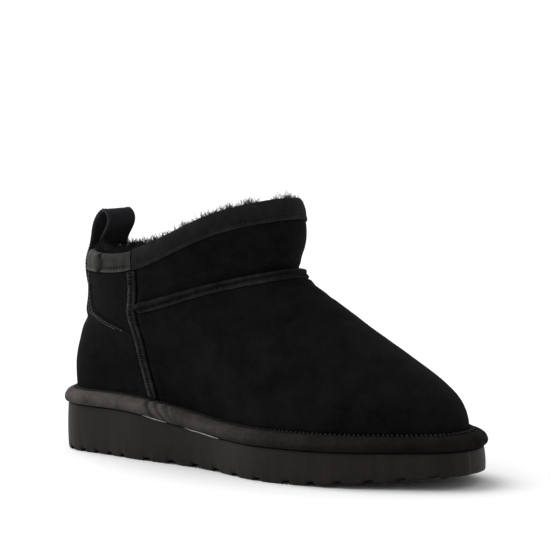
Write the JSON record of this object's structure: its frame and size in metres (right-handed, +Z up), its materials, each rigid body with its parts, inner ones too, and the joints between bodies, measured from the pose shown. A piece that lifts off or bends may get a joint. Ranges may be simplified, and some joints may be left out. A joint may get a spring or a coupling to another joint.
{
  "type": "sheepskin ankle boot",
  "caption": "Low suede ankle boot with a fleece lining, a thick flat platform sole, a padded wrap round its edge, a bound slanted collar and a heel pull loop.",
  "frame": {"origin": "on the floor under the middle of the boot's bounding box", "axes": "+X from heel to toe, +Y to the medial side of this right boot, +Z up"},
  "size_m": [0.272, 0.1028, 0.1437],
  "materials": {
    "suede": "napped black suede",
    "foxing_suede": "napped grey-brown suede",
    "binding_tape": "woven tape",
    "heel_tape": "woven tape",
    "fleece": "deep pile fleece",
    "sole_foam": "matt moulded foam rubber"
  },
  "bodies": {
    "root": {"outsole": "sole_foam", "insole": "fleece", "upper": "suede", "foxing_band": "foxing_suede", "vamp_piping": "suede", "side_seam_lateral": "suede", "side_seam_medial": "suede", "collar_binding": "binding_tape", "back_binding": "heel_tape", "pull_loop": "suede"}
  },
  "joints": []
}
